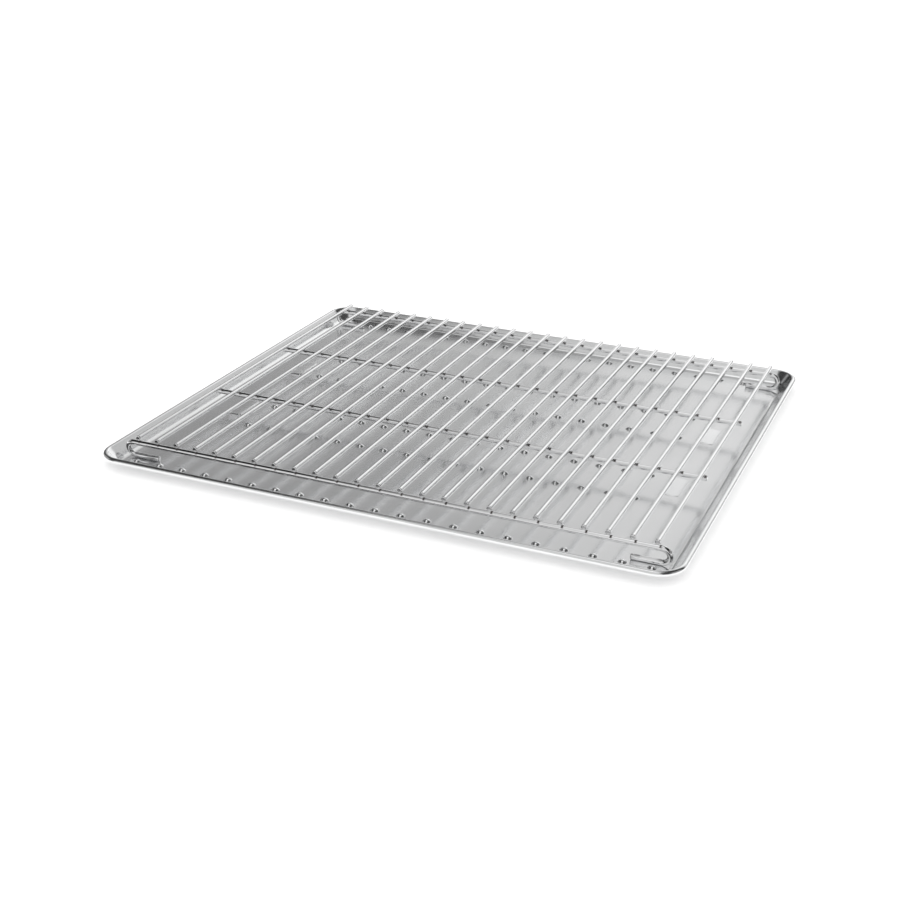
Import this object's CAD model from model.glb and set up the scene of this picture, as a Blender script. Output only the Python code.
import math

import bmesh
import bpy
from mathutils import Matrix, Vector
from mathutils.geometry import delaunay_2d_cdt


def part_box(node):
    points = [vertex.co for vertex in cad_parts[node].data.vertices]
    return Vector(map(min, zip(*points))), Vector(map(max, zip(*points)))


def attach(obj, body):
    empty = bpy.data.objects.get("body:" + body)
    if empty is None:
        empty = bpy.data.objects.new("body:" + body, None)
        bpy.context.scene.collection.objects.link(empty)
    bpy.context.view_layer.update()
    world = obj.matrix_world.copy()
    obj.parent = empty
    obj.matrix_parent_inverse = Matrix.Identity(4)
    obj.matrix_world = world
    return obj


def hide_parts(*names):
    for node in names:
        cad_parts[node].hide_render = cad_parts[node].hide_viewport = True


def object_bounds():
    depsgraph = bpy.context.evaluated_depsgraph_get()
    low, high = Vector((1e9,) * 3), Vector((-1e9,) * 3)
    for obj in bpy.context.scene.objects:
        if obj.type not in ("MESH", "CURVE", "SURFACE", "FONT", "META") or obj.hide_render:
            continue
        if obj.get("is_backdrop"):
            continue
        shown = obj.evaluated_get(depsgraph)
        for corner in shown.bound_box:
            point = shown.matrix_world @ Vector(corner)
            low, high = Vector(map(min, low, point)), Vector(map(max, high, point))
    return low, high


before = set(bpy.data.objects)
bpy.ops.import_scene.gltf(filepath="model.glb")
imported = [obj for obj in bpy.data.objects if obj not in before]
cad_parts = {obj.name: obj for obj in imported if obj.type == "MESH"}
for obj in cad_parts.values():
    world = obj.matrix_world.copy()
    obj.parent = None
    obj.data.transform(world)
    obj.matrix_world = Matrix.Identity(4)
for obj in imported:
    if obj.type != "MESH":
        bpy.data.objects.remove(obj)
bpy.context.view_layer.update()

MM = 0.001

# ---------------------------------------------------------------- sizes, in millimetres
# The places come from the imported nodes; the section of the sheet is the one that the tray is pressed to.
t_lo, t_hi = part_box("tray_pan")
TRAY_L, TRAY_W, TRAY_H = 400.0, 350.0, t_hi.z / MM
CORNER_R = 18.0
SHEET = 0.6
WALL = math.radians(50)
BEND_R = 5.4
BEAD_R = 1.9
NUB_D, NUB_H, NUB_PITCH = 5.4, 1.5, 17.9
NUB_ROWS = (-155.0, -71.0, -34.0, 34.0, 71.0, 155.0)
PAD_L, PAD_W, PAD_H, PAD_X, PAD_Y = 27.0, 10.0, 0.7, 163.5, 44.5

AX, AY = TRAY_L / 2 - CORNER_R, TRAY_W / 2 - CORNER_R
bead_x, bead_z = CORNER_R - BEAD_R, TRAY_H - BEAD_R
wall_n = Vector((-math.sin(WALL), math.cos(WALL)))
wall_top = Vector((bead_x, bead_z)) + BEAD_R * wall_n
wall_foot = wall_top.x - (wall_top.y - SHEET) / math.tan(WALL)
flat_end = wall_foot - BEND_R * math.tan(WALL / 2)


# ---------------------------------------------------------------- mesh helpers
def new_object(name, bm, smooth=True):
    bmesh.ops.recalc_face_normals(bm, faces=bm.faces)
    for f in bm.faces:
        f.smooth = smooth
    mesh = bpy.data.meshes.new(name)
    bm.to_mesh(mesh)
    bm.free()
    obj = bpy.data.objects.new(name, mesh)
    bpy.context.scene.collection.objects.link(obj)
    return obj


def bridge(bm, a, b, closed=True):
    n = len(a)
    for i in range(n if closed else n - 1):
        j = (i + 1) % n
        bm.faces.new((a[i], a[j], b[j], b[i]))


def arc(cx, cz, r, a0, a1, n):
    return [
        (cx + r * math.cos(math.radians(a0 + (a1 - a0) * i / n)), cz + r * math.sin(math.radians(a0 + (a1 - a0) * i / n)))
        for i in range(n + 1)
    ]


# ---------------------------------------------------------------- the tray
CORNER_STEPS = 22


def rim_ring(bm, x, z):
    """One loop round the tray at x from the corner axes, z up."""
    ring = []
    for sx, sy, a0 in ((1, 1, 0), (-1, 1, 90), (-1, -1, 180), (1, -1, 270)):
        for i in range(CORNER_STEPS + 1):
            a = math.radians(a0 + 90 * i / CORNER_STEPS)
            ring.append(bm.verts.new(((sx * AX + x * math.cos(a)) * MM, (sy * AY + x * math.sin(a)) * MM, z * MM)))
    return ring


def sheet_profile():
    """Closed outline of the sheet, from the floor's upper face round the rolled rim and back to its lower face."""
    up = arc(flat_end, SHEET + BEND_R, BEND_R, -90, -90 + math.degrees(WALL), 10)
    w = math.degrees(WALL)
    outer = arc(bead_x, bead_z, BEAD_R, 90 + w, -148, 46)
    lip = arc(
        bead_x + (BEAD_R - SHEET / 2) * math.cos(math.radians(-148)),
        bead_z + (BEAD_R - SHEET / 2) * math.sin(math.radians(-148)),
        SHEET / 2, -148, -148 - 180, 6,
    )[1:-1]
    inner = arc(bead_x, bead_z, BEAD_R - SHEET, -148, 90 + w, 32)
    down = arc(flat_end, SHEET + BEND_R, BEND_R + SHEET, -90 + w, -90, 10)
    return up + outer + lip + inner + down


def dome(base, rs, zc, rf, r):
    """Height at radius r of a ball of radius rs centred at zc, blended into the plane at base with a fillet rf."""
    k = base - zc
    rc = math.sqrt((rs + rf) ** 2 - (k + rf) ** 2)
    rt = rc * rs / (rs + rf)
    if r <= rt:
        return zc + math.sqrt(rs * rs - r * r)
    if r >= rc:
        return base
    return base + rf - math.sqrt(rf * rf - (rc - r) ** 2)


def pad_outline(g, n=8):
    """Outline of a pad grown by g, with round corners, as offsets from its middle."""
    r = 1.5
    pts = []
    for sx, sy, a0 in ((1, 1, 0), (-1, 1, 90), (-1, -1, 180), (1, -1, 270)):
        for i in range(n + 1):
            a = math.radians(a0 + 90 * i / n)
            pts.append((sx * (PAD_W / 2 - r) + (r + g) * math.cos(a), sy * (PAD_L / 2 - r) + (r + g) * math.sin(a)))
    return pts


def build_tray():
    bm = bmesh.new()
    prof = sheet_profile()
    rings = [rim_ring(bm, x, z) for x, z in prof]
    for a, b in zip(rings, rings[1:]):
        bridge(bm, a, b)
    nub_seg = 36
    nubs = []
    for y in NUB_ROWS:
        for i in range(21):
            if abs(y) != 155.0 and i in (0, 1, 19, 20):
                continue
            nubs.append(((i - 10) * NUB_PITCH, y))
    pads = [(sx * PAD_X, sy * PAD_Y) for sx in (-1, 1) for sy in (-1, 1)]
    nub_r = (NUB_D ** 2 / 4 + NUB_H ** 2) / (2 * NUB_H)
    zc = SHEET + NUB_H - nub_r

    for top in (True, False):
        base = SHEET if top else 0.0
        rs = nub_r if top else nub_r - SHEET * 0.7
        rf = 0.45 if top else 0.35
        edge = rings[0] if top else rings[-1]
        verts = list(edge)
        loops = [list(range(len(verts)))]
        for cx, cy in nubs:                      # the pressed nubs
            radii = (3.3, 3.1, 2.97, 2.88, 2.8, 2.72, 2.64, 2.56, 2.42, 2.2, 1.9, 1.5, 1.0, 0.5)
            prev = None
            for k, r in enumerate(radii):
                z = dome(base, rs, zc, rf, r)
                ring = [
                    bm.verts.new(((cx + r * math.cos(2 * math.pi * i / nub_seg)) * MM, (cy + r * math.sin(2 * math.pi * i / nub_seg)) * MM, z * MM))
                    for i in range(nub_seg)
                ]
                if k == 0:
                    loops.append(list(range(len(verts), len(verts) + nub_seg)))
                    verts.extend(ring)
                else:
                    bridge(bm, prev, ring)
                prev = ring
            tip = bm.verts.new((cx * MM, cy * MM, dome(base, rs, zc, rf, 0) * MM))
            for i in range(nub_seg):
                bm.faces.new((prev[i], prev[(i + 1) % nub_seg], tip))
        for cx, cy in pads:                      # the pressed pads, highest at their inner edge
            # (offset, share of the height) from the floor up to the flat top
            steps = ((0.75, 0.0), (0.55, 0.0), (0.38, 0.05), (0.22, 0.2), (0.1, 0.45), (0.0, 0.7), (-0.15, 0.9), (-0.35, 0.985), (-0.6, 1.0), (-0.9, 1.0))
            if not top:
                steps = tuple((g - 0.45, s) for g, s in steps)
            prev = None
            for k, (g, s) in enumerate(steps):
                inward = -1 if cx > 0 else 1
                ring = [
                    bm.verts.new(((cx + px) * MM, (cy + py) * MM, (base + s * PAD_H * (0.55 + 0.45 * inward * px / (PAD_W / 2))) * MM))
                    for px, py in pad_outline(g)
                ]
                if k == 0:
                    loops.append(list(range(len(verts), len(verts) + len(ring))))
                    verts.extend(ring)
                else:
                    bridge(bm, prev, ring)
                prev = ring
            bm.faces.new(prev)
        flat = [Vector((v.co.x / MM, v.co.y / MM)) for v in verts]
        edges = [(lp[i], lp[(i + 1) % len(lp)]) for lp in loops for i in range(len(lp))]
        out = delaunay_2d_cdt(flat, edges, [], 1, 1e-6)
        co, tris, orig = out[0], out[2], out[3]
        for tri in tris:
            c = sum((co[i] for i in tri), Vector((0, 0))) / 3
            if any((c.x - x) ** 2 + (c.y - y) ** 2 < 3.29 ** 2 for x, y in nubs):
                continue
            if any(abs(c.x - x) < PAD_W / 2 + 0.2 and abs(c.y - y) < PAD_L / 2 + 0.2 for x, y in pads):
                continue
            vs = [verts[orig[i][0]] for i in tri]
            if len(set(vs)) == 3:
                bm.faces.new(vs)
    return new_object("tray_sheet", bm)


def build_rim_wire():
    lo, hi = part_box("rim_wire")
    r = (hi.z - lo.z) / 2 / MM
    bm = bmesh.new()
    rings = [rim_ring(bm, bead_x + r * math.cos(a), bead_z + r * math.sin(a)) for a in [2 * math.pi * i / 28 for i in range(28)]]
    for a, b in zip(rings, rings[1:] + rings[:1]):
        bridge(bm, a, b)
    return new_object("rim_core_wire", bm)


# ---------------------------------------------------------------- wires
def tube(name, path, radius, seg=32, bevel=0.45, shape=None, tint=None):
    """A round wire along a list of points in millimetres, its cut ends a little rounded.
    shape(point, normal) may push a point outwards, in millimetres; tint(point, normal) is how heat-marked it is, 0 to 1."""
    pts = [Vector(p) for p in path]
    # rounded ends: extra stations close to each end
    t0, t1 = (pts[1] - pts[0]).normalized(), (pts[-1] - pts[-2]).normalized()
    start = [(pts[0] + t0 * bevel * (1 - math.sin(math.radians(90 - 22.5 * k))), radius - bevel * (1 - math.cos(math.radians(90 - 22.5 * k)))) for k in range(5)]
    end = [(pts[-1] - t1 * bevel * (1 - math.sin(math.radians(22.5 * k))), radius - bevel * (1 - math.cos(math.radians(22.5 * k)))) for k in range(5)]
    line = start + [(p, radius) for p in pts[1:-1]] + end
    bm = bmesh.new()
    mark = bm.verts.layers.float.new("weld")
    up = Vector((0, 0, 1)) if abs(t0.z) < 0.9 else Vector((1, 0, 0))
    x = t0.cross(up).normalized()
    prev_t, rings = t0, []
    for i, (p, r) in enumerate(line):
        a = line[max(i - 1, 0)][0]
        b = line[min(i + 1, len(line) - 1)][0]
        t = (b - a).normalized() if (b - a).length > 1e-9 else prev_t
        x = (x - t * x.dot(t)).normalized()
        y = t.cross(x)
        prev_t = t
        ring = []
        for k in range(seg):
            th = 2 * math.pi * k / seg
            n = x * math.cos(th) + y * math.sin(th)
            q = p + n * r
            v = bm.verts.new((q + shape(q, n) if shape else q) * MM)
            v[mark] = tint(q, n) if tint else 0.0
            ring.append(v)
        rings.append(ring)
    for a, b in zip(rings, rings[1:]):
        bridge(bm, a, b)
    for ring, p in ((rings[0], line[0][0]), (rings[-1], line[-1][0])):      # flat cut faces
        inner = [bm.verts.new((p * MM + (v.co - p * MM) * 0.86)) for v in ring]
        bridge(bm, ring, inner)
        inner2 = [bm.verts.new((p * MM + (v.co - p * MM) * 0.5)) for v in ring]
        bridge(bm, inner, inner2)
        c = bm.verts.new(p * MM)
        for i in range(seg):
            bm.faces.new((inner2[i], inner2[(i + 1) % seg], c))
    return new_object(name, bm)


def span(a, b, step):
    n = max(1, int(math.ceil(abs(b - a) / step)))
    return [a + (b - a) * i / n for i in range(n + 1)]


cross = {}
for n in ("front_foot_wire", "front_cross_wire", "rear_cross_wire", "rear_foot_wire"):
    lo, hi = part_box(n)
    cross[n] = (lo / MM, hi / MM)
CROSS_R = (cross["front_cross_wire"][1].z - cross["front_cross_wire"][0].z) / 2
CROSS_R = round(CROSS_R, 1)
CROSS_Z = (cross["front_cross_wire"][1].z + cross["front_cross_wire"][0].z) / 2
CROSS_Y = [-151.0, -48.4, 48.4, 151.0]


def weld(q, n):
    """Upset metal under a long wire where it is welded to a cross wire."""
    push = 0.0
    for yc in CROSS_Y:
        d = abs(q.y - yc)
        if d < 4.5:
            side = max(0.0, 1 - abs(n.z + 0.35) / 0.75)
            push += 0.22 * math.exp(-(d / 1.75) ** 2) * side ** 1.5
    return Vector((n.x, 0, n.z * 0.4)) * push


def ease(v, a, b):
    t = min(1.0, max(0.0, (v - a) / (b - a)))
    return t * t * (3 - 2 * t)


def mark_long(q, n):
    """Heat mark on a long wire, low down, close to a weld."""
    d = min(abs(q.y - yc) for yc in CROSS_Y)
    return 0.12 * ease(-n.z, -0.1, 0.5) * (1 - ease(d, 1.4, 2.6))


def mark_cross(q, n):
    """Heat mark on a cross wire, a spot on its upper side at the right of each long wire."""
    if abs(q.x) > 186.0:
        return 0.0
    d = q.x - math.floor((q.x + 5.0) / 15.0) * 15.0
    return ease(n.z, 0.25, 0.6) * (1 - ease(abs(d - 2.3), 0.35, 0.95))


def cross_stations(x0, x1):
    xs = set([x0, x1])
    for k in range(-12, 13):
        for o in (-4.0, -1.6, 0.8, 1.2, 1.5, 1.8, 2.1, 2.4, 2.7, 3.0, 3.3, 3.7):
            x = k * 15.0 + o
            if x0 + 0.6 < x < x1 - 0.6:
                xs.add(round(x, 4))
    return sorted(xs)


def build_long_wire(i):
    node = "long_wire_%02d" % i
    lo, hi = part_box(node)
    lo, hi = lo / MM, hi / MM
    r = 1.6
    x, z = (lo.x + hi.x) / 2, (lo.z + hi.z) / 2
    y0, y1 = lo.y, hi.y
    ys = set([y0, y1])
    for yc in CROSS_Y:
        for k in range(-8, 9):
            y = yc + k * 0.55
            if y0 + 0.6 < y < y1 - 0.6:
                ys.add(round(y, 4))
    for y in span(y0, y1, 12.0)[1:-1]:
        if min(abs(y - yc) for yc in CROSS_Y) > 6 and y0 + 2 < y < y1 - 2:
            ys.add(round(y, 4))
    o = tube("rack_" + node, [(x, y, z) for y in sorted(ys)], r, seg=32, shape=weld, tint=mark_long)
    return o, node


def build_cross_wire(node):
    lo, hi = cross[node]
    y, z = (lo.y + hi.y) / 2, (lo.z + hi.z) / 2
    return tube("rack_" + node, [(x, y, z) for x in cross_stations(lo.x, hi.x)], CROSS_R, seg=32, tint=mark_cross)


FOOT_DROP, FOOT_LEAN, FOOT_BEND_X, FOOT_END_X = 10.0, math.radians(8.5), 183.0, 164.3


def build_foot_wire(node):
    lo, hi = cross[node]
    side = -1 if node.startswith("front") else 1
    y, z = side * 151.0, CROSS_Z
    r = FOOT_DROP / 2
    flat = []                                     # (x, drop) in the plane of the feet
    for a in range(0, 181, 6):
        flat.append((FOOT_BEND_X + r * math.sin(math.radians(a)), r - r * math.cos(math.radians(a))))
    for x in span(FOOT_BEND_X, FOOT_END_X, 4.0)[1:]:
        flat.append((x, FOOT_DROP))
    left = [(-x, d) for x, d in reversed(flat)]
    mid = [(x, 0.0) for x in cross_stations(-FOOT_BEND_X, FOOT_BEND_X)[1:-1]]
    path = []
    for x, d in left + mid + flat:
        path.append((x, y - side * d * math.sin(FOOT_LEAN), z - d * math.cos(FOOT_LEAN)))
    return tube("rack_" + node, path, CROSS_R, seg=36, tint=mark_cross)


# ---------------------------------------------------------------- materials
def material(name):
    m = bpy.data.materials.new(name)
    m.use_nodes = True
    nt = m.node_tree
    nt.nodes.clear()
    out = nt.nodes.new("ShaderNodeOutputMaterial")
    bsdf = nt.nodes.new("ShaderNodeBsdfPrincipled")
    nt.links.new(bsdf.outputs[0], out.inputs[0])
    return m, nt, bsdf


def noise(nt, coord, scale, detail, rough, stretch=None):
    src = coord
    if stretch:
        mp = nt.nodes.new("ShaderNodeMapping")
        mp.inputs["Scale"].default_value = stretch
        nt.links.new(coord, mp.inputs[0])
        src = mp.outputs[0]
    n = nt.nodes.new("ShaderNodeTexNoise")
    n.inputs["Scale"].default_value = scale
    n.inputs["Detail"].default_value = detail
    n.inputs["Roughness"].default_value = rough
    nt.links.new(src, n.inputs["Vector"])
    return n.outputs["Fac"]


def spread(nt, fac, a, b, lo=0.3, hi=0.7):
    m = nt.nodes.new("ShaderNodeMapRange")
    m.inputs["From Min"].default_value, m.inputs["From Max"].default_value = lo, hi
    m.inputs["To Min"].default_value, m.inputs["To Max"].default_value = a, b
    nt.links.new(fac, m.inputs["Value"])
    return m.outputs["Result"]


def ramp(nt, fac, stops):
    r = nt.nodes.new("ShaderNodeValToRGB")
    r.color_ramp.elements[0].position, r.color_ramp.elements[0].color = stops[0][0], (*stops[0][1], 1)
    r.color_ramp.elements[1].position, r.color_ramp.elements[1].color = stops[-1][0], (*stops[-1][1], 1)
    for p, c in stops[1:-1]:
        e = r.color_ramp.elements.new(p)
        e.color = (*c, 1)
    nt.links.new(fac, r.inputs[0])
    return r.outputs["Color"]


def bump(nt, bsdf, height, strength, distance):
    b = nt.nodes.new("ShaderNodeBump")
    b.inputs["Strength"].default_value = strength
    b.inputs["Distance"].default_value = distance
    nt.links.new(height, b.inputs["Height"])
    nt.links.new(b.outputs[0], bsdf.inputs["Normal"])


def tray_steel():
    """Bright pressed stainless sheet: a fine cloudy satin, with faint rolling lines along its length."""
    m, nt, bsdf = material("tray_steel")
    co = nt.nodes.new("ShaderNodeTexCoord").outputs["Object"]
    bsdf.inputs["Metallic"].default_value = 1.0
    cloud = noise(nt, co, 22.0, 4.0, 0.55)
    grain = noise(nt, co, 600.0, 3.0, 0.6, (0.06, 1.0, 1.0))
    fine = noise(nt, co, 2600.0, 2.0, 0.5)
    nt.links.new(ramp(nt, cloud, [(0.3, (0.86, 0.865, 0.87)), (0.7, (0.91, 0.913, 0.917))]), bsdf.inputs["Base Color"])
    add = nt.nodes.new("ShaderNodeMath")
    add.operation = "ADD"
    nt.links.new(spread(nt, cloud, 0.15, 0.18), add.inputs[0])
    nt.links.new(spread(nt, grain, 0.0, 0.03), add.inputs[1])
    nt.links.new(add.outputs[0], bsdf.inputs["Roughness"])
    h = nt.nodes.new("ShaderNodeMath")
    h.operation = "ADD"
    nt.links.new(spread(nt, grain, 0.0, 0.6), h.inputs[0])
    nt.links.new(spread(nt, fine, 0.0, 0.25), h.inputs[1])
    bump(nt, bsdf, h.outputs[0], 0.015, 0.0002)
    return m


def chrome_wire():
    """Bright chromed wire: near-mirror, with the faint lengthwise draw marks of the wire below the plating."""
    m, nt, bsdf = material("chrome_wire")
    co = nt.nodes.new("ShaderNodeTexCoord").outputs["Object"]
    bsdf.inputs["Metallic"].default_value = 1.0
    cloud = noise(nt, co, 90.0, 3.0, 0.5)
    draw = noise(nt, co, 1500.0, 2.0, 0.5)
    weld = nt.nodes.new("ShaderNodeAttribute")
    weld.attribute_name = "weld"
    mix = nt.nodes.new("ShaderNodeMix")
    mix.data_type = "RGBA"
    nt.links.new(weld.outputs["Fac"], mix.inputs["Factor"])
    nt.links.new(ramp(nt, cloud, [(0.3, (0.89, 0.893, 0.90)), (0.7, (0.94, 0.942, 0.945))]), mix.inputs["A"])
    nt.links.new(ramp(nt, cloud, [(0.3, (0.05, 0.045, 0.042)), (0.7, (0.10, 0.09, 0.085))]), mix.inputs["B"])
    nt.links.new(mix.outputs["Result"], bsdf.inputs["Base Color"])
    rough = nt.nodes.new("ShaderNodeMath")
    rough.operation = "MULTIPLY_ADD"
    nt.links.new(weld.outputs["Fac"], rough.inputs[0])
    rough.inputs[1].default_value = 0.3
    nt.links.new(spread(nt, cloud, 0.05, 0.08), rough.inputs[2])
    nt.links.new(rough.outputs[0], bsdf.inputs["Roughness"])
    bump(nt, bsdf, draw, 0.02, 0.0001)
    return m


def core_steel():
    m, nt, bsdf = material("core_steel")
    co = nt.nodes.new("ShaderNodeTexCoord").outputs["Object"]
    bsdf.inputs["Metallic"].default_value = 1.0
    cloud = noise(nt, co, 150.0, 4.0, 0.6)
    nt.links.new(ramp(nt, cloud, [(0.3, (0.42, 0.42, 0.43)), (0.7, (0.55, 0.55, 0.56))]), bsdf.inputs["Base Color"])
    nt.links.new(spread(nt, cloud, 0.35, 0.5), bsdf.inputs["Roughness"])
    bump(nt, bsdf, cloud, 0.1, 0.0002)
    return m


TRAY_STEEL, CHROME, CORE = tray_steel(), chrome_wire(), core_steel()
for node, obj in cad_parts.items():            # the hidden CAD nodes carry the same finishes
    obj.data.materials.clear()
    obj.data.materials.append(TRAY_STEEL if node == "tray_pan" else CORE if node == "rim_wire" else CHROME)

# ---------------------------------------------------------------- pieces
tray = build_tray()
tray.data.materials.append(TRAY_STEEL)
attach(tray, "tray")
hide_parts("tray_pan")

core = build_rim_wire()
core.data.materials.append(CORE)
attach(core, "tray")
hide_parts("rim_wire")

wires = []
for node in ("front_foot_wire", "rear_foot_wire"):
    wires.append((build_foot_wire(node), node))
for node in ("front_cross_wire", "rear_cross_wire"):
    wires.append((build_cross_wire(node), node))
for i in range(1, 26):
    wires.append(build_long_wire(i))
for obj, node in wires:
    obj.data.materials.append(CHROME)
    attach(obj, "rack")
    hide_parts(node)

# ---------------------------------------------------------------- floor
bm = bmesh.new()
bmesh.ops.create_grid(bm, x_segments=4, y_segments=4, size=30.0)
floor = new_object("floor", bm, smooth=False)
fm, fnt, fb = material("floor_white")
fb.inputs["Roughness"].default_value = 0.9
fb.inputs["Specular IOR Level"].default_value = 0.0
fco = fnt.nodes.new("ShaderNodeTexCoord").outputs["Object"]
fnt.links.new(ramp(fnt, noise(fnt, fco, 30.0, 3.0, 0.5), [(0.3, (0.655, 0.655, 0.655)), (0.7, (0.665, 0.665, 0.665))]), fb.inputs["Base Color"])
fb.inputs["Emission Color"].default_value = (1, 1, 1, 1)
fb.inputs["Emission Strength"].default_value = 0.33
floor.data.materials.append(fm)
floor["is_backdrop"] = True

# ---------------------------------------------------------------- soft studio light
world = bpy.data.worlds.new("studio")
bpy.context.scene.world = world
world.use_nodes = True
wn = world.node_tree
wn.nodes.clear()


def wmath(op, a, b=None, c=None):
    n = wn.nodes.new("ShaderNodeMath")
    n.operation = op
    for i, v in enumerate((a, b, c)):
        if v is None:
            continue
        if isinstance(v, (int, float)):
            n.inputs[i].default_value = v
        else:
            wn.links.new(v, n.inputs[i])
    return n.outputs[0]


def wstep(v, a, b, lo=0.0, hi=1.0):
    n = wn.nodes.new("ShaderNodeMapRange")
    n.interpolation_type = "SMOOTHSTEP"
    n.inputs["From Min"].default_value, n.inputs["From Max"].default_value = a, b
    n.inputs["To Min"].default_value, n.inputs["To Max"].default_value = lo, hi
    wn.links.new(v, n.inputs["Value"])
    return n.outputs["Result"]


direction = wn.nodes.new("ShaderNodeTexCoord").outputs["Generated"]
sep = wn.nodes.new("ShaderNodeSeparateXYZ")
wn.links.new(direction, sep.inputs[0])
dx, dy, dz = sep.outputs
az = wmath("MULTIPLY", wmath("ARCTAN2", dx, dy), 180 / math.pi)          # from the back, + to the right
el = wmath("MULTIPLY", wmath("ARCSINE", wmath("MINIMUM", wmath("MAXIMUM", dz, -1.0), 1.0)), 180 / math.pi)


def window(a0, a1, soft_a, e0, e1, soft_e):
    """1 inside a band of azimuth and elevation, falling to 0 outside it."""
    h = wmath("MULTIPLY", wstep(az, a0 - soft_a, a0), wstep(az, a1, a1 + soft_a, 1.0, 0.0))
    v = wmath("MULTIPLY", wstep(el, e0 - soft_e, e0), wstep(el, e1, e1 + soft_e, 1.0, 0.0))
    return wmath("MULTIPLY", h, v)


def lerp(a, b, t):
    return wmath("ADD", wmath("MULTIPLY", a, wmath("SUBTRACT", 1.0, t)), wmath("MULTIPLY", b, t))


def cone(x, y, z, a0, a1):
    """1 within a0 degrees of a direction, falling to 0 at a1."""
    n = wn.nodes.new("ShaderNodeVectorMath")
    n.operation = "DOT_PRODUCT"
    wn.links.new(direction, n.inputs[0])
    n.inputs[1].default_value = Vector((x, y, z)).normalized()
    return wstep(n.outputs["Value"], math.cos(math.radians(a1)), math.cos(math.radians(a0)))


back = wmath("ADD", wstep(az, -52, -32, 0.20, 0.32), wstep(az, -31, -10, 0.0, 0.44))  # dim at the left,
back = wmath("ADD", back, wstep(az, -11, -5, 0.0, 0.42))                              # bright at the right
back = lerp(back, 1.0, wstep(az, 0, 6))
back = lerp(back, 0.57, wmath("MULTIPLY", wstep(az, 16, 28), wstep(el, 17, 24)))
level = lerp(back, wstep(az, -30, -5, 0.40, 0.66), wstep(el, 35, 47))                 # above
level = lerp(level, 1.0, window(-28, -14, 6, 9, 15, 3))                               # a low bright strip
rim = wmath("ADD", wstep(az, -36, -22, 13.0, 6.0), wstep(az, -4, 16, 0.0, 5.0))       # a dark edge below it
dark = wstep(wmath("SUBTRACT", el, rim), -2.5, 2.5, 1.0, 0.0)
dark = wmath("MULTIPLY", dark, wmath("ADD", wstep(az, -34, -26, 0.96, 0.7), wstep(az, -6, 2, 0.0, 0.26)))
level = lerp(level, 0.04, wmath("MULTIPLY", dark, wstep(az, 44, 50, 1.0, 0.0)))
level = lerp(level, 0.85, wstep(el, 66, 73))
level = lerp(level, 0.66, wmath("ADD", wstep(az, -142, -134, 1.0, 0.0), wstep(az, 142, 152)))   # the camera's side
level = lerp(level, 0.03, wmath("MULTIPLY", wmath("SUBTRACT", 1.0, cone(0, 1, 0, 45, 51)), wmath("MULTIPLY", wmath("MULTIPLY", wstep(az, -22, -2), wstep(az, 142, 152, 1.0, 0.0)), wstep(el, 74, 79, 1.0, 0.0))))
level = lerp(level, 0.02, window(-134, -48, 7, -90, 61, 6))                           # black flag at the left
level = lerp(level, 0.02, window(-60, -38, 6, 34, 60, 5))
level = lerp(level, 0.34, wmath("ADD", window(-108, -72, 8, -90, 31, 6), window(72, 108, 8, -90, 31, 6)))   # soft sides
level = lerp(level, 1.2, cone(-0.12, 0.0, 1.0, 6, 12))                                # the overhead light
env = wn.nodes.new("ShaderNodeBackground")
wn.links.new(level, env.inputs["Strength"])
env.inputs["Color"].default_value = (1.0, 1.0, 1.0, 1)
plain = wn.nodes.new("ShaderNodeBackground")                                          # even dome light on the pale floor
plain.inputs["Color"].default_value = (1.0, 1.0, 1.0, 1)
plain.inputs["Strength"].default_value = 1.3
path = wn.nodes.new("ShaderNodeLightPath")
mix = wn.nodes.new("ShaderNodeMixShader")
wn.links.new(path.outputs["Is Glossy Ray"], mix.inputs[0])
wn.links.new(plain.outputs[0], mix.inputs[1])
wn.links.new(env.outputs[0], mix.inputs[2])
wout = wn.nodes.new("ShaderNodeOutputWorld")
wn.links.new(mix.outputs[0], wout.inputs[0])


# ---------------------------------------------------------------- camera
cam = bpy.data.cameras.new("camera")
cam.sensor_width = 36.0
cam.lens = 1369.51 * 36.0 / 900.0
cam.clip_start, cam.clip_end = 0.01, 100
cam_obj = bpy.data.objects.new("camera", cam)
right = Vector((0.914458448, 0.404664217, 0.003552119))
down = Vector((0.169354884, -0.374705946, -0.911545049))
ahead = Vector((-0.367538663, 0.834171640, -0.411184880))
cam_obj.matrix_world = Matrix.Translation((0.351184, -0.835851, 0.386603 + SHEET * MM)) @ Matrix((
    (right.x, -down.x, -ahead.x),
    (right.y, -down.y, -ahead.y),
    (right.z, -down.z, -ahead.z),
)).to_4x4()
bpy.context.scene.collection.objects.link(cam_obj)
bpy.context.scene.camera = cam_obj
bpy.context.scene.view_settings.view_transform = "Standard"

lo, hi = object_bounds()
